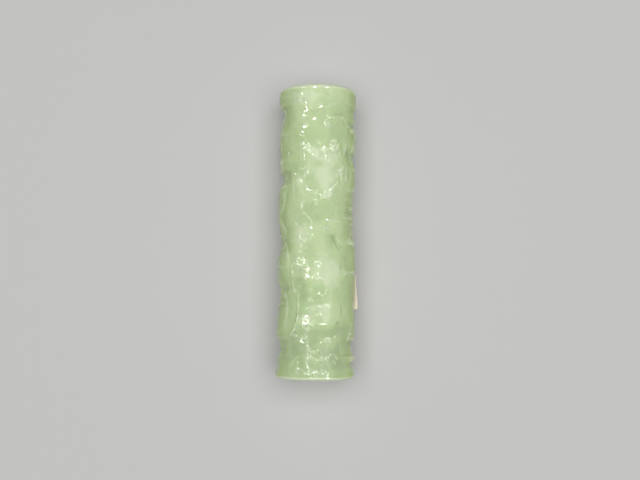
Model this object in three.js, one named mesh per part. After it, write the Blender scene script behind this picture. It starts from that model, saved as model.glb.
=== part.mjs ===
// A carved jade column lying on its side, with a blank paper sticker on one flank.
// Millimetres. The column's axis runs along Y and +Z is up. Places on the round side are given as a turn in
// degrees about the axis, 0 on top and 90 towards +X, and a height y along it, 0 in the middle.
import * as THREE from "three";

// Column
const LENGTH = 120;
const RIM_RADIUS = 16.3;
const CARVING_DEPTH = 2.4;
const GROUND_RADIUS = RIM_RADIUS - CARVING_DEPTH;
const END_ROUNDING = 2;
const UPPER_COLLAR = 8.6;
const LOWER_COLLAR = 4.4;
const COLLAR_STEP = 2; // height over which a collar runs down to the carving
const REST_HALF_ANGLE = 10; // degrees of the underside, each way, that are ground flat
const REST_DROP = RIM_RADIUS * Math.cos(THREE.MathUtils.degToRad(REST_HALF_ANGLE));

// Column mesh: 5 degrees for each face, so that the resting flat's edges fall on vertices
const AROUND = 72;
const CARVED_ROWS = 50;
const ROUNDING_STEPS = 4;

// Carving
const MOAT = 0.35; // how far the ground is cut down beside a motif, as a fraction of its height there
const MOAT_REACH = 1;
const POLISH_OFFSETS = [-0.6, -0.3, 0, 0.3, 0.6]; // in mesh steps

// Sticker
const STICKER_HEIGHT = 15;
const STICKER_THICKNESS = 0.3;
const STICKER_GAP = 0.3;
const STICKER_TOP = -16.6; // y of its upper edge
const STICKER_START = 98; // turn of its free edge
const STICKER_END = 150; // turn of its stuck edge
const STICKER_PEEL = 29; // degrees of it that have come loose at its lower edge

const JADE = new THREE.MeshStandardMaterial({ name: "jade", color: 0xb9cfa2, roughness: 0.22, metalness: 0 });
const PAPER = new THREE.MeshStandardMaterial({ name: "paper", color: 0xeedccb, roughness: 0.85, metalness: 0 });

// A round shoulder: 0 on an outline, 1 once `edge` inside it.
function shoulder(inside, edge) {
  const left = 1 - THREE.MathUtils.clamp(inside / edge, 0, 1);
  return Math.sqrt(1 - left * left);
}

// How far a place is from a motif's middle: along the motif's heading (0 towards the upper end, 90 towards
// growing turn) and across it.
function placeBeside(motif, turn, y) {
  const turned = THREE.MathUtils.euclideanModulo(turn - motif.turn + 180, 360) - 180;
  const sideways = THREE.MathUtils.degToRad(turned) * (RIM_RADIUS - CARVING_DEPTH / 3);
  const upward = y - motif.y;
  const heading = THREE.MathUtils.degToRad(motif.heading);
  return {
    along: upward * Math.cos(heading) + sideways * Math.sin(heading),
    across: sideways * Math.cos(heading) - upward * Math.sin(heading),
  };
}

// A pointed oval, widest towards its base.
function leaf(turn, y, length, width, heading, top) {
  const insideAt = ({ along, across }) => {
    const t = THREE.MathUtils.clamp(along / length + 0.5, 0, 1);
    const half = 0.5 * width * Math.sin(Math.PI * t ** 0.8) ** 0.75;
    const past = Math.max(0, Math.abs(along) - length / 2);
    return past > 0 ? -Math.hypot(past, across) : half - Math.abs(across);
  };
  return { turn, y, heading, top, edge: 2.4, insideAt };
}

// A rounded pad, a little squarer than an ellipse.
function pad(turn, y, length, width, heading, top, edge = 3) {
  const insideAt = ({ along, across }) => {
    const power = 2.4;
    const sum = Math.abs((2 * along) / length) ** power + Math.abs((2 * across) / width) ** power;
    return ((1 - sum ** (1 / power)) * Math.min(length, width)) / 2;
  };
  return { turn, y, heading, top, edge, insideAt };
}

// A round fruit that comes to a soft point.
function fruit(turn, y, size, heading, top) {
  const insideAt = ({ along, across }) => {
    const bearing = Math.atan2(across, along);
    return (size / 2) * (1 + 0.28 * Math.exp(-((bearing / 0.45) ** 2))) - Math.hypot(along, across);
  };
  return { turn, y, heading, top, edge: size * 0.42, insideAt };
}

// The carving, in the order it overlaps: a later motif lies on the earlier ones.
function motifs() {
  const rocks = [];
  const rockCount = 11;
  for (let i = 0; i < rockCount; i++) {
    rocks.push(pad(9 + (i * 360) / rockCount, -53.2, 7.5, 10.5, 0, 1.9));
  }
  const leftFlank = [
    leaf(-90, 36, 21, 15, 10, 1.9),
    pad(-64, 21, 9, 9, 20, 1.6),
    fruit(-90, 10.5, 17, 190, 2),
    leaf(-92, -15, 15, 14, 165, 2.1),
    leaf(-92, -36, 15, 15, 188, 2.35),
  ];
  const rightFlank = [
    pad(90, 48, 5, 12, 0, 1.7, 2),
    leaf(88, 38, 12, 16, 95, 2.2),
    leaf(92, 22.3, 15.5, 15, 170, 2.2),
    pad(90, 2, 11.5, 13, 0, 1.5),
    fruit(90, -14.5, 18, 10, 2.4),
    leaf(92, -33, 22, 14, 175, 2.4),
    pad(94, -51.8, 4.2, 9, 0, 2.4, 2),
  ];
  const front = [
    pad(4, 22.5, 15.5, 16.5, 80, 2),
    leaf(6, 40.5, 23, 15, 170, 2.2),
    pad(35, 46.5, 7, 7, 0, 1.8),
    leaf(3, 9.5, 16, 12, 205, 2.1),
    leaf(28, 3.5, 14, 8, 84, 2),
    pad(12, -7.5, 14, 15, 0, 1.9),
    leaf(-33, -24.5, 31, 11, 184, 2.2),
    fruit(-22, 0.8, 6.5, 190, 2.1),
    leaf(13, -19.5, 16, 9, 100, 2.1),
    pad(9, -33.5, 13, 16, 80, 2.1),
    fruit(-15, -38, 7, 20, 2.3),
    leaf(38, -27, 24, 9, 185, 2),
    leaf(0, -45.5, 26, 6, 68, 2),
  ];
  const back = [
    leaf(180, 38, 24, 16, 178, 2.2),
    leaf(135, 36, 22, 12, 350, 2),
    leaf(-136, 34, 22, 12, 10, 2),
    fruit(168, 16, 14, 200, 2.2),
    leaf(-160, 14, 17, 11, 150, 2.1),
    leaf(178, -2, 17, 12, 95, 2.1),
    leaf(132, 6, 22, 11, 195, 2),
    leaf(-130, -4, 22, 11, 170, 2),
    fruit(-168, -20, 15, 15, 2.3),
    leaf(152, -22, 20, 11, 165, 2.1),
    leaf(180, -39, 18, 14, 190, 2.2),
    leaf(132, -42, 16, 10, 20, 2),
    leaf(-134, -36, 22, 11, 350, 2),
  ];
  return [...rocks, ...leftFlank, ...rightFlank, ...front, ...back];
}

const MOTIFS = motifs();

// The carving's height above its ground before it is polished.
function cutAt(turn, y) {
  let height = 0;
  for (const motif of MOTIFS) {
    const inside = motif.insideAt(placeBeside(motif, turn, y));
    if (inside > 0) height = motif.top * shoulder(inside, motif.edge);
    else height *= 1 - MOAT * Math.exp(-((inside / MOAT_REACH) ** 2));
  }
  return Math.min(height, CARVING_DEPTH);
}

// Polishing rounds the cuts off: the mean of the places around, about one mesh step wide.
function reliefAt(turn, y) {
  let sum = 0;
  for (const turned of POLISH_OFFSETS) {
    for (const raised of POLISH_OFFSETS) {
      sum += cutAt(turn + turned * (360 / AROUND), y + raised * (LENGTH / CARVED_ROWS));
    }
  }
  return sum / POLISH_OFFSETS.length ** 2;
}

// Radius of the round side. The collars are plain and run down into the carving.
function radiusAt(turn, y) {
  const upper = THREE.MathUtils.smoothstep(y, LENGTH / 2 - UPPER_COLLAR - COLLAR_STEP, LENGTH / 2 - UPPER_COLLAR);
  const lower = THREE.MathUtils.smoothstep(-y, LENGTH / 2 - LOWER_COLLAR - COLLAR_STEP, LENGTH / 2 - LOWER_COLLAR);
  const carved = GROUND_RADIUS + reliefAt(turn, y);
  return THREE.MathUtils.lerp(carved, RIM_RADIUS, Math.max(upper, lower));
}

// The plain turned blank, from the lower end's middle to the upper end's.
function blankProfile() {
  const half = LENGTH / 2;
  const arcCentre = RIM_RADIUS - END_ROUNDING;
  const points = [new THREE.Vector2(0, -half)];
  for (let i = 0; i <= ROUNDING_STEPS; i++) {
    const angle = (i / ROUNDING_STEPS) * (Math.PI / 2);
    const out = arcCentre + END_ROUNDING * Math.sin(angle);
    points.push(new THREE.Vector2(out, -half + END_ROUNDING * (1 - Math.cos(angle))));
  }
  const straight = LENGTH - 2 * END_ROUNDING;
  for (let i = 1; i < CARVED_ROWS; i++) {
    points.push(new THREE.Vector2(RIM_RADIUS, -half + END_ROUNDING + (i / CARVED_ROWS) * straight));
  }
  for (let i = ROUNDING_STEPS; i >= 0; i--) {
    const angle = (i / ROUNDING_STEPS) * (Math.PI / 2);
    const out = arcCentre + END_ROUNDING * Math.sin(angle);
    points.push(new THREE.Vector2(out, half - END_ROUNDING * (1 - Math.cos(angle))));
  }
  points.push(new THREE.Vector2(0, half));
  return points;
}

// The turned blank with its side cut back to the carving and its underside ground flat.
function carvedColumn() {
  const geometry = new THREE.LatheGeometry(blankProfile(), AROUND);
  const position = geometry.getAttribute("position");
  const vertex = new THREE.Vector3();
  for (let i = 0; i < position.count; i++) {
    vertex.fromBufferAttribute(position, i);
    const blankRadius = Math.hypot(vertex.x, vertex.z);
    if (blankRadius === 0) continue;
    const turn = THREE.MathUtils.radToDeg(Math.atan2(vertex.x, vertex.z));
    const down = -vertex.z / blankRadius;
    const restLimit = down > 0 ? REST_DROP / down : Infinity;
    const radius = Math.min(blankRadius, radiusAt(turn, vertex.y), restLimit);
    vertex.x *= radius / blankRadius;
    vertex.z *= radius / blankRadius;
    position.setXYZ(i, vertex.x, vertex.y, vertex.z);
  }
  geometry.computeVertexNormals();
  const mesh = new THREE.Mesh(geometry, JADE);
  mesh.name = "carved_column";
  return mesh;
}

// A point of the sticker: `across` runs from 0 at its free edge to 1 at its stuck edge, `down` from 0 at its
// upper edge to 1 at its lower edge, and `out` is a height off its inner face. Where it has come loose it is
// straight, so it stands off along the tangent.
function stickerPoint(across, down, out) {
  const radius = RIM_RADIUS + STICKER_GAP;
  const turn = THREE.MathUtils.lerp(STICKER_START, STICKER_END, across);
  const stuckFrom = STICKER_START + STICKER_PEEL * down;
  const touch = THREE.MathUtils.degToRad(Math.max(turn, stuckFrom));
  const loose = radius * (touch - THREE.MathUtils.degToRad(turn));
  const sine = Math.sin(touch);
  const cosine = Math.cos(touch);
  return new THREE.Vector3(
    (radius + out) * sine - loose * cosine,
    STICKER_TOP - STICKER_HEIGHT * down,
    (radius + out) * cosine + loose * sine,
  );
}

function paperSticker() {
  const geometry = new THREE.BoxGeometry(1, 1, STICKER_THICKNESS, 18, 6, 1);
  const position = geometry.getAttribute("position");
  for (let i = 0; i < position.count; i++) {
    const across = position.getX(i) + 0.5;
    const down = 0.5 - position.getY(i);
    const out = STICKER_THICKNESS / 2 + position.getZ(i);
    const point = stickerPoint(across, down, out);
    position.setXYZ(i, point.x, point.y, point.z);
  }
  geometry.computeVertexNormals();
  const mesh = new THREE.Mesh(geometry, PAPER);
  mesh.name = "paper_sticker";
  return mesh;
}

// The origin is the middle of the base of the whole object's box.
const carvedJadeColumn = new THREE.Group();
carvedJadeColumn.add(carvedColumn(), paperSticker());
const box = new THREE.Box3().setFromObject(carvedJadeColumn);
const middle = box.getCenter(new THREE.Vector3());
carvedJadeColumn.position.set(-middle.x, -middle.y, -box.min.z);

export default carvedJadeColumn;
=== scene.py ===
"""Looks of a carved jade column lying on its side, with a blank paper sticker on one flank.

The column is one displaced surface: a grid of places (turn about the axis, height along it) whose radius
is the carving's. The column's and the sticker's lengths are in millimetres until their mesh is made,
which is in metres like the frame, the materials, the lights and the camera. A turn is in degrees, 0 on
top and 90 towards +X. A height along the axis is 0 in the middle and grows towards the taller collar.
"""
import math

import bpy
import numpy as np
from mathutils import Matrix, Vector


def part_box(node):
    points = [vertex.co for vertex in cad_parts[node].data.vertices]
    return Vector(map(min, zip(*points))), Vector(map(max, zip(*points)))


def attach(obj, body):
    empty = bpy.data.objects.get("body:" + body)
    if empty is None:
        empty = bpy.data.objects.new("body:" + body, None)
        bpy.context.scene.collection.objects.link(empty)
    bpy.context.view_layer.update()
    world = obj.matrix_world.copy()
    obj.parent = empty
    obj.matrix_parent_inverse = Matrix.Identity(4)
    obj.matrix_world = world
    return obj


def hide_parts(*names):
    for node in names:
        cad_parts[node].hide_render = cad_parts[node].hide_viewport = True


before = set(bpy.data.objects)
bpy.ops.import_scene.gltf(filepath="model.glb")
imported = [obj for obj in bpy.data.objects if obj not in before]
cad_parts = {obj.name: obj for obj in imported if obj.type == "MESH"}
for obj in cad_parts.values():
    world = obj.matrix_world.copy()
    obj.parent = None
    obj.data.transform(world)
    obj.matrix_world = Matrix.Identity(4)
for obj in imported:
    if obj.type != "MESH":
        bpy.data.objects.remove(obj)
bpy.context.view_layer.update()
column_low, column_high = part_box("carved_column")

MM = 0.001

# Column, as in the CAD
LENGTH = (column_high.y - column_low.y) / MM
RIM_RADIUS = (column_high.x - column_low.x) / MM / 2
CARVING_DEPTH = 2.4
GROUND_RADIUS = RIM_RADIUS - CARVING_DEPTH
UPPER_ROUNDING = 2.0
LOWER_ROUNDING = 1.3
REST_DROP = (column_high.z - column_low.z) / MM - RIM_RADIUS
AXIS_X = (column_low.x + column_high.x) / 2
AXIS_Z = column_low.z + REST_DROP * MM

# Grid that the relief is drawn on, and the coarser one of the mesh
FINE_AROUND = 640
FINE_ALONG = 600
MESH_AROUND = 236
MESH_ALONG = 394
FRONT_DENSITY = 0.5   # how much closer the mesh's columns stand on top than underneath
PLACE_RADIUS = RIM_RADIUS - CARVING_DEPTH / 3   # where distances along the surface are measured
GIRTH = 2 * math.pi * PLACE_RADIUS
MM_PER_DEGREE = math.radians(PLACE_RADIUS)

# Small features
KNOB_RISE = 0.19     # of its size across
CHAIN_SPACING = 1.3
CHAIN_KNOB = 1.45    # size across, on average
KNOB_MARK = 1.5      # how strongly a knob and a ridge count as finely worked
RIDGE_MARK = 3.0

# Finish of the whole relief
SEED = 11
UNCUT_HEIGHT = 1.55      # of the stone between the lobes, above the deepest ground
COLLAR_SINK = 0.28       # how much lower the collars are on top
POLISH_BLUR = 0.13       # what the polish rounds off
CREST_BLUR = 1.5         # crests and hollows are measured against this neighbourhood
MARK_BLUR = 0.4
HEIGHT_MARGIN = 0.02     # how far the finish may stand above the collars
CEILING_SOFTNESS = 0.1
CLOUD_SPREAD = 1.2


# ------------------------------------------------------------------------------------------- the relief

def smooth_step(x):
    x = np.clip(x, 0, 1)
    return x * x * (3 - 2 * x)


def shoulder(inside, edge):
    """0 on an outline and 1 once `edge` inside it, as round as polished stone."""
    left = 1 - np.clip(inside / edge, 0, 1)
    return np.sqrt(np.clip(1 - left * left, 0, 1))


def blurred(values, sigma_along, sigma_around):
    """A Gaussian blur, in grid steps, that joins up round the column."""
    for axis, sigma in ((1, sigma_around), (0, sigma_along)):
        reach = max(1, int(math.ceil(3 * sigma)))
        offsets = np.arange(-reach, reach + 1)
        weights = np.exp(-0.5 * (offsets / sigma) ** 2)
        weights /= weights.sum()
        mode = "wrap" if axis == 1 else "edge"
        pads = [(0, 0), (0, 0)]
        pads[axis] = (reach, reach)
        padded = np.pad(values, pads, mode=mode)
        count = values.shape[axis]
        values = sum(w * np.take(padded, range(i, i + count), axis=axis) for i, w in enumerate(weights))
    return values


def softened(values, size):
    """The same blur, over `size` millimetres."""
    return blurred(values, size / (LENGTH / FINE_ALONG), size / (GIRTH / FINE_AROUND))


def waviness(shape, rng, size, height):
    """The unevenness that cutting or polishing by hand leaves, about `size` grid steps across."""
    wave = blurred(rng.standard_normal(shape), size, size * 1.1)
    return height * wave / wave.std()


def as_turn(distance):
    """The turn that a distance round the column makes."""
    return math.degrees(distance / PLACE_RADIUS)


def spline(points):
    """A Catmull-Rom curve through points, as an array of points."""
    steps = 8
    points = np.array(points, float)
    padded = np.vstack([2 * points[0] - points[1], points, 2 * points[-1] - points[-2]])
    out = []
    for a, b, c, d in zip(padded, padded[1:], padded[2:], padded[3:]):
        for t in np.arange(steps) / steps:
            out.append(0.5 * (2 * b + (c - a) * t + (2 * a - 5 * b + 4 * c - d) * t**2
                              + (3 * b - a - 3 * c + d) * t**3))
    out.append(points[-1])
    return np.array(out)


def along_and_across(s, t, heading):
    """Distances along a heading, 0 being up the column and 90 towards growing turn, and across it."""
    cosine, sine = math.cos(math.radians(heading)), math.sin(math.radians(heading))
    return t * cosine + s * sine, s * cosine - t * sine


class Relief:
    """Heights above the deepest ground. Each call raises or lowers what the earlier calls left."""

    def __init__(self):
        self.turn = np.arange(FINE_AROUND) * 360 / FINE_AROUND - 180
        self.along = np.linspace(-LENGTH / 2, LENGTH / 2, FINE_ALONG)
        self.heights = np.zeros((FINE_ALONG, FINE_AROUND))
        self.marks = np.zeros((FINE_ALONG, FINE_AROUND))   # where fine tools have worked

    def window(self, turn, y, reach):
        """The grid near a place: its index arrays and the distances round and along, in millimetres."""
        rows = np.where(np.abs(self.along - y) < reach)[0]
        turned = (self.turn - turn + 180) % 360 - 180
        around = np.radians(turned) * PLACE_RADIUS
        columns = np.where(np.abs(around) < reach)[0]
        places = np.ix_(rows, columns)
        s, t = np.meshgrid(around[columns], self.along[rows] - y)
        return places, s, t

    def rise(self, places, inside, height, edge):
        """Lifts what is inside an outline by a rounded step, and sinks a moat just outside it."""
        moat = 0.15
        outside = np.clip(-inside, 0, None)
        beside = np.where(inside < 0, np.exp(-(outside**2)), 1 - shoulder(inside, edge))
        self.heights[places] += height * shoulder(inside, edge) - moat * beside

    def swell(self, turn, y, length, width, heading, height, power=2.2):
        """A soft hump or, with a negative height, a soft hollow."""
        places, s, t = self.window(turn, y, 0.85 * max(length, width))
        u, v = along_and_across(s, t, heading)
        fall = np.abs(2 * u / length) ** power + np.abs(2 * v / width) ** power
        self.heights[places] += height * np.exp(-fall)

    def knob(self, turn, y, size):
        """A round cap, which mirrors each lamp as one small glint."""
        places, s, t = self.window(turn, y, size)
        cap = np.clip(1 - (2 / size) ** 2 * (s * s + t * t), 0, None)
        self.heights[places] += KNOB_RISE * size * cap
        self.marks[places] += KNOB_MARK * cap

    def leaf(self, turn, y, length, width, heading, height, edge):
        """A pointed leaf with a hollow face, a rib down its middle and slanting side veins."""
        cup, vein_depth, vein_spacing = 0.25, 0.12, 2.1
        places, s, t = self.window(turn, y, 0.6 * length + 3)
        u, v = along_and_across(s, t, heading)
        part = u / length + 0.5
        half = 0.5 * width * np.sin(np.pi * np.clip(part, 0, 1) ** 0.8) ** 0.75
        past = np.maximum(-part, part - 1) * length
        inside = np.where(past < 0, half - np.abs(v), -np.hypot(np.clip(past, 0, None), v))
        across = np.clip(np.abs(v) / np.maximum(half, 0.3), 0, 1)
        self.rise(places, inside, height, edge)
        rib = np.exp(-((v / 0.45) ** 2)) * smooth_step((1 - part) * 4)
        side = (0.5 + 0.5 * np.cos(2 * np.pi * (u - 0.75 * np.abs(v)) / vein_spacing)) ** 4
        side = side * smooth_step(inside / 1.2) * smooth_step(np.abs(v) / 0.9)
        hollow = cup * (1 - across**2) * shoulder(inside, 1.6 * edge)
        self.heights[places] -= (hollow + vein_depth * (1.6 * rib + side)) * (inside > 0)

    def curl(self, turn, y, size, heading, height):
        """A spiral ridge that opens outwards, on a low round pad."""
        windings, ridge_width = 1.6, 0.42
        places, s, t = self.window(turn, y, 0.6 * size + 2)
        u, v = along_and_across(s, t, heading)
        radius = np.hypot(u, v)
        pitch = size / 2 / windings
        wave = (radius / pitch - np.arctan2(v, u) / (2 * np.pi)) % 1.0
        line = np.exp(-(((wave - 0.5) * pitch / ridge_width) ** 2))
        self.rise(places, size / 2 - radius, 0.25, 1.4)
        self.heights[places] += height * line * smooth_step((size / 2 - radius) / 0.8 + 0.3)

    def near_path(self, points, reach):
        """Distance from a smooth path to the grid near it, how far along the path, and the side it is on."""
        path = spline(points)
        middle = (path.max(axis=0) + path.min(axis=0)) / 2
        xy = (path - middle) * (MM_PER_DEGREE, 1)
        places, s, t = self.window(middle[0], middle[1], np.abs(xy).max() + reach)
        best = np.full(s.shape, np.inf)
        along = np.zeros(s.shape)
        side = np.zeros(s.shape)
        for i, (a, b) in enumerate(zip(xy, xy[1:])):
            d = b - a
            part = np.clip(((s - a[0]) * d[0] + (t - a[1]) * d[1]) / (d @ d + 1e-9), 0, 1)
            distance = np.hypot(s - a[0] - part * d[0], t - a[1] - part * d[1])
            nearer = distance < best
            best = np.where(nearer, distance, best)
            along = np.where(nearer, (i + part) / (len(xy) - 1), along)
            side = np.where(nearer, np.sign(d[0] * (t - a[1]) - d[1] * (s - a[0])), side)
        return places, best, along, side

    def ridge(self, points, width, height):
        """A raised line."""
        places, distance, along, _ = self.near_path(points, 2 * width)
        ends = smooth_step(along * 7) * smooth_step((1 - along) * 7)
        line = ends * np.exp(-((distance / (0.6 * width)) ** 2))
        self.heights[places] += height * line
        self.marks[places] += RIDGE_MARK * max(height, 0) * line

    def groove(self, points, width, depth):
        self.ridge(points, width, -depth)

    def ledge(self, points, drop, fade, lip):
        """An overlapping edge: the surface drops to the right of the path and climbs back slowly."""
        places, distance, along, side = self.near_path(points, 3 * fade)
        ends = smooth_step(along * 5) * smooth_step((1 - along) * 5)
        lower = np.where(side < 0, smooth_step(distance / 0.7) * np.exp(-distance / fade), 0)
        self.heights[places] -= ends * (drop * lower - lip * np.exp(-((distance / 0.6) ** 2)))

    def burst(self, turn, y, size, strokes, start, height):
        """Short ridges that spread from a middle, like the stamens of a flower."""
        for i in range(strokes):
            bearing = math.radians(start + i * 360 / strokes)
            inner, outer = 0.16 * size, size * (0.42 + 0.08 * math.sin(3 * i))
            points = [(turn + as_turn(r * math.sin(bearing)), y + r * math.cos(bearing))
                      for r in (inner, (inner + outer) / 2, outer)]
            self.ridge(points, 0.6, height)

    def chain(self, points, rng):
        """Small uneven knobs strung loosely along a path."""
        path = spline(points)
        steps = np.hypot(*(np.diff(path, axis=0) * (MM_PER_DEGREE, 1)).T)
        travelled = np.concatenate([[0], np.cumsum(steps)])
        for even_place in np.arange(CHAIN_SPACING / 2, travelled[-1], CHAIN_SPACING):
            place = even_place + rng.uniform(-0.4, 0.4) * CHAIN_SPACING
            turn = np.interp(place, travelled, path[:, 0]) + rng.normal(0, 1.3)
            y = np.interp(place, travelled, path[:, 1]) + rng.normal(0, 0.3)
            self.knob(turn, y, CHAIN_KNOB * rng.uniform(0.65, 1.35))

    def feather(self, start, end, barbs, length, slant, height):
        """A row of short ridges that cross the line from start to end."""
        for i in range(barbs):
            part = i / (barbs - 1)
            turn = start[0] + (end[0] - start[0]) * part
            y = start[1] + (end[1] - start[1]) * part
            swing = length * (0.6 + 0.4 * math.sin(math.pi * part))
            reach_turn = as_turn(swing * math.sin(math.radians(slant))) / 2
            reach_y = swing * math.cos(math.radians(slant)) / 2
            barb = [(turn - reach_turn, y - reach_y), (turn, y), (turn + reach_turn, y + reach_y)]
            self.ridge(barb, 0.5, height)


def carve_outline(relief):
    """The lobes of the left and right outline, and the gouges between them."""
    for y, length in ((35.5, 23), (10.2, 21), (-15, 15), (-36.3, 15.5)):
        relief.swell(-90, y, length, 25, 3, 0.55, 3)
    relief.groove([(-125, 50), (-90, 49), (-70, 48.4), (-60, 48)], 4.4, 0.7)
    relief.groove([(-120, 21), (-92, 22.6), (-66, 23.4), (-44, 22)], 3.2, 1.0)
    relief.groove([(-120, -3), (-90, -4.4), (-62, -4.8)], 4.2, 0.6)
    relief.groove([(-120, -27), (-90, -25.4), (-64, -24), (-48, -22)], 3.8, 0.7)
    relief.groove([(-122, -46), (-90, -47.4), (-66, -47.6), (-54, -47)], 5.0, 0.75)
    for y, length in ((48, 6), (38, 12.5), (22.4, 16.5), (-14.5, 20), (-33.5, 20), (-51.8, 4)):
        relief.swell(90, y, length, min(25, 2 * length + 4), 3, 0.6, 3)
    relief.groove([(122, 51), (90, 51), (60, 51), (30, 50.6)], 1.6, 0.6)
    relief.groove([(118, 45), (90, 44.4), (66, 43.6), (54, 41)], 1.5, 0.5)
    relief.groove([(124, 30), (92, 31), (66, 31.6), (52, 33)], 2.6, 0.7)
    relief.groove([(120, 14), (90, 13.4), (68, 14.2)], 1.5, 0.5)
    relief.groove([(122, 9), (90, 8.6), (66, 8), (52, 9)], 1.5, 0.7)
    relief.groove([(118, -5), (90, -4.2), (66, -3.4)], 2.2, 0.5)
    relief.groove([(122, -47), (90, -47.2), (66, -47), (54, -46)], 5.0, 0.8)
    relief.groove([(120, -54.6), (90, -54.5), (66, -54.2)], 1.6, 0.9)


def carve_upper_front(relief):
    """From the taller collar down: a smooth brow, folded leaves, a curl, a flower and a broad petal."""
    relief.ledge([(-44, 50.1), (-26, 50.1), (-8, 49.2), (6, 48)], 0.25, 2.0, 0.05)
    relief.groove([(24, 47.5), (36, 47.7), (48, 48.4)], 0.9, 0.3)
    relief.ridge([(13, 41.6), (11.5, 43.3), (13, 44.8), (18, 45.8), (24, 45.9), (31, 46.5)], 0.6, 0.34)
    relief.ridge([(17, 42.4), (15, 43.5), (17, 44.5)], 0.52, 0.22)
    relief.ridge([(-21, 42.1), (-20.5, 40.2), (-21, 37.9)], 0.6, 0.14)
    relief.ridge([(-24, 38.3), (-30, 39), (-36, 38.8)], 0.52, 0.17)
    relief.ridge([(-22, 36.7), (-20.5, 32.5), (-21, 27.2)], 0.6, 0.28)
    relief.ridge([(-25, 35.4), (-26, 31.6), (-25, 27.7)], 0.68, 0.17)
    relief.ledge([(26, 29.9), (20, 30.7), (10, 29.6), (-2, 31.9), (-16, 36), (-24, 39.3)], 0.15, 2.2, 0.06)
    relief.ridge([(-15, 35.7), (-9, 33.9), (-2, 31.7), (5, 30.3), (10, 29.6)], 0.6, 0.28)
    relief.ridge([(-18, 34), (-12, 32.3), (-5, 30.4), (3, 28.8)], 0.6, 0.39)
    relief.ridge([(-16, 34.9), (-11, 33.3), (-6, 31.7)], 0.5, 0.22)
    relief.ridge([(7, 33.8), (10, 31.7), (14, 28.7)], 0.6, 0.45)
    relief.ridge([(9.5, 34), (12.5, 32), (15.5, 29.5)], 0.5, 0.34)
    relief.ridge([(11, 34.8), (14, 33.3), (17.5, 32.2)], 0.68, 0.39)
    relief.curl(28, 34.4, 5.0, 20, 0.35)
    relief.ridge([(18, 32.4), (20, 35.7), (26, 37.2), (32, 36.6)], 0.68, 0.34)
    relief.ridge([(40, 38), (43, 37.9), (46, 37.6), (47, 34.1), (46.5, 30.2)], 0.6, 0.28)
    relief.leaf(42, 33.4, 9, 5, 178, 0.25, 1.2)
    relief.ledge([(-13, 17.9), (-13.5, 21.8), (-12, 26.8), (4, 28.3), (20, 28), (30, 26.3)], 0.25, 2.0, 0.06)
    relief.ridge([(35, 25.4), (33, 22.1), (31, 18)], 0.68, 0.34)
    relief.ridge([(29, 24.9), (28, 22), (27, 19.1)], 0.6, 0.13)
    relief.leaf(46, 23, 9, 5.5, 182, 0.3, 1.3)
    relief.burst(-18, 23.8, 5.0, 6, 0, 0.32)
    relief.ledge([(-22, 12.6), (-37, 12.7), (-37.5, 17.3), (-37, 22.6), (-22, 21.9)], 0.25, 1.6, 0.1)
    relief.ridge([(-33, 19.7), (-27, 19.7), (-22, 19.2)], 0.52, 0.25)
    relief.ridge([(-30, 15.3), (-27, 16.8), (-23, 16.9)], 0.52, 0.17)
    relief.ledge([(2, 16.8), (-6, 16), (-16, 16)], 0.3, 1.6, 0.15)
    relief.ridge([(-12, 17.2), (-6, 17), (0, 17.5)], 0.5, 0.17)


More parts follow.
